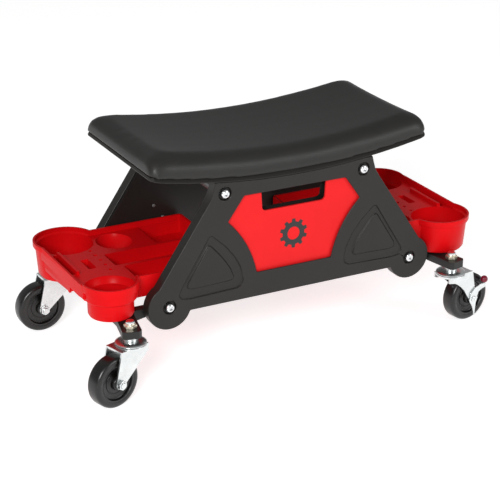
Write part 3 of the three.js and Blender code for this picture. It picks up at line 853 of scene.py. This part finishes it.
def axle_bolt(space):
    """An axle with a low domed head; the lever's thickness pushes the head out."""
    face = -LEG_FACES[1] - space - 0.3
    return turned_along_y(TRAIL, AXLE, [
        (0, face - 0.5), (1.2, face - 0.6), (1.7, face - 1.5), (2.9, face - 1.5), (3.9, face - 0.9),
        (4.2, face - 0.2), (4.2, face), (4, face), (4, 22.2), (3.6, 22.5), (0, 22.5),
    ])


def axle_nut():
    nut = hexagon(12, 0, 4.6, 0.7)
    bmesh.ops.rotate(nut, verts=nut.verts, cent=(0, 0, 0), matrix=Matrix.Rotation(-math.pi / 2, 3, "X"))
    bmesh.ops.translate(nut, verts=nut.verts, vec=(TRAIL, 16.8, AXLE))
    bore = turned_along_y(TRAIL, AXLE, [(0, 10), (4.3, 10), (4.3, 30), (0, 30)], 24)
    return combined(nut, bore)


def wheel():
    """A moulded wheel: rounded tread, stepped rim, dished web and hub."""
    half = [
        (36, 0), (36, 6.4), (35.5, 8.4), (34.4, 10), (32.8, 11), (30.6, 11.4), (27.4, 11.3), (26.8, 10.9),
        (26.2, 10.9), (25.6, 11.4), (24.8, 11.4), (24.2, 10.8), (23.6, 7.4), (22.6, 6.8), (17, 6.4),
        (16.6, 7), (15.8, 7), (15.4, 6.4), (11.2, 6.4), (10.2, 7), (9.4, 12.6), (8.8, 13.3), (4.5, 13.3),
    ]
    loop = [(r, -y) for r, y in reversed(half)] + half[1:]
    return turned_along_y(TRAIL, AXLE, loop, 96, closed=True)


class CREEPER_OT_casters(bpy.types.Operator):
    """Builds the four casters' stems, nuts, forks and axles"""

    bl_idname = "creeper.casters"
    bl_label = "Casters"

    def execute(self, context):
        stem, nut, axle_end = stem_and_race(), stem_nut(), axle_nut()
        forks = {False: fork(False), True: fork(True)}
        bolts = {False: axle_bolt(0), True: axle_bolt(LEVER_SPACE)}
        zinc = finish_named("zinc")
        edge = sizes().metal_edge * 1000
        for name in SWIVELS:
            braked = name.endswith("right")
            swivel = f"swivel_{name}"
            kinds = [
                ("caster_stem", stem, False, "root", zinc, "caster_zinc", 0),
                ("stem_nut", nut, False, "root", finish_named("nut"), "nut_zinc", 0.4),
                ("fork", forks[braked], True, swivel, zinc, "caster_zinc", edge),
                ("axle_bolt", bolts[braked], True, swivel, zinc, "caster_zinc", 0),
                ("axle_nut", axle_end, True, swivel, zinc, "caster_zinc", 0.3),
            ]
            for kind, bm, swivels, body, material, slot, rounding in kinds:
                node = f"{kind}_{name}"
                placed = caster_place(bm, name, swivels)
                finish_piece(f"{node}_look", placed, material, body, [node], edge=rounding, segments=2)
        return {"FINISHED"}


class CREEPER_OT_wheels(bpy.types.Operator):
    """Builds the four wheels"""

    bl_idname = "creeper.wheels"
    bl_label = "Wheels"

    def execute(self, context):
        shape = wheel()
        for name in SWIVELS:
            finish_piece(
                f"wheel_{name}_look", caster_place(shape, name, True), finish_named("rubber"),
                f"wheel_{name}", [f"wheel_{name}"], angle=40,
            )
        return {"FINISHED"}


class CREEPER_OT_brakes(bpy.types.Operator):
    """Builds the brake levers and their balls"""

    bl_idname = "creeper.brakes"
    bl_label = "Brake Levers"

    def execute(self, context):
        for name in ("front_right", "rear_right"):
            lever = softened(f"brake_lever_{name}")
            finish_piece(
                f"brake_lever_{name}_look", lever, finish_named("zinc"), f"brake_{name}",
                [f"brake_lever_{name}"], edge=0.6,
            )
            ball = bmesh.new()
            bmesh.ops.create_uvsphere(ball, u_segments=32, v_segments=20, radius=5.4)
            bmesh.ops.translate(ball, verts=ball.verts, vec=LEVER_BALL)
            finish_piece(
                f"lever_cap_{name}_look", caster_place(ball, name, True), finish_named("cap"),
                f"brake_{name}", [f"lever_cap_{name}"],
            )
        return {"FINISHED"}


class CREEPER_OT_stage(bpy.types.Operator):
    """Sets up the pale floor, the soft lights and the camera"""

    bl_idname = "creeper.stage"
    bl_label = "Stage"

    def execute(self, context):
        scene = bpy.context.scene
        scene.view_settings.view_transform = "Standard"
        ground = bmesh.new()
        bmesh.ops.create_grid(ground, x_segments=1, y_segments=1, size=12)
        mesh = bpy.data.meshes.new("floor")
        ground.to_mesh(mesh)
        ground.free()
        floor = bpy.data.objects.new("floor", mesh)
        scene.collection.objects.link(floor)
        material = make_finish(
            "Studio floor", (0.72, 0.72, 0.72), 0.75, specular=0.15, spread=0.005, grain=40, relief=0.00001,
            patch=1,
        )
        glow = material.node_tree.nodes["Principled BSDF"]
        glow.inputs["Emission Color"].default_value = (1, 1, 1, 1)
        glow.inputs["Emission Strength"].default_value = 0.67
        mesh.materials.append(material)
        world = bpy.data.worlds.new("Studio")
        world.use_nodes = True
        world.node_tree.nodes["Background"].inputs["Color"].default_value = (1, 1, 1, 1)
        world.node_tree.nodes["Background"].inputs["Strength"].default_value = 0.34
        scene.world = world
        lights = [
            ("key light", (-1.7, -2.0, 1.45), 0.8, 56),
            ("fill light", (1.6, -2.2, 1.3), 1.2, 24),
        ]
        for name, place, size, power in lights:
            data = bpy.data.lights.new(name, "AREA")
            data.size = size
            data.energy = power
            lamp = bpy.data.objects.new(name, data)
            lamp.location = place
            lamp.rotation_euler = (Vector((0, 0, 0.15)) - Vector(place)).to_track_quat("-Z", "Y").to_euler()
            scene.collection.objects.link(lamp)
        data = bpy.data.cameras.new("camera")
        data.lens = 112.23
        data.sensor_width = 36
        data.clip_end = 60
        camera = bpy.data.objects.new("camera", data)
        right = Vector((0.88402, -0.46739, 0.00669))
        up = Vector((0.17599, 0.34606, 0.92156))
        back = right.cross(up)
        turn = Matrix((right, up, back)).transposed().to_4x4()
        camera.matrix_world = Matrix.Translation((-0.98393, -1.83108, 0.99181)) @ turn
        scene.collection.objects.link(camera)
        scene.camera = camera
        return {"FINISHED"}


OPERATORS = [
    CREEPER_OT_cushion, CREEPER_OT_side_frames, CREEPER_OT_panels, CREEPER_OT_fasteners, CREEPER_OT_trays,
    CREEPER_OT_carriers, CREEPER_OT_casters, CREEPER_OT_wheels, CREEPER_OT_brakes, CREEPER_OT_stage,
]


class CREEPER_PT_pieces(bpy.types.Panel):
    """Lists the seat's pieces and settings"""

    bl_label = "Creeper Seat"
    bl_idname = "CREEPER_PT_pieces"
    bl_space_type = "VIEW_3D"
    bl_region_type = "UI"
    bl_category = "Creeper"

    def draw(self, context):
        layout = self.layout
        for settings in (context.scene.creeper_sizes, context.scene.creeper_colours):
            for name in settings.__annotations__:
                layout.prop(settings, name)
        for operator in OPERATORS:
            layout.operator(operator.bl_idname)


CLASSES = [CreeperSizes, CreeperColours, *OPERATORS, CREEPER_PT_pieces]


def register():
    for cls in CLASSES:
        bpy.utils.register_class(cls)
    bpy.types.Scene.creeper_sizes = PointerProperty(type=CreeperSizes)
    bpy.types.Scene.creeper_colours = PointerProperty(type=CreeperColours)


def unregister():
    del bpy.types.Scene.creeper_colours
    del bpy.types.Scene.creeper_sizes
    for cls in reversed(CLASSES):
        bpy.utils.unregister_class(cls)


def main():
    register()
    for operator in OPERATORS:
        group, name = operator.bl_idname.split(".")
        getattr(getattr(bpy.ops, group), name)()


if __name__ == "__main__":
    main()
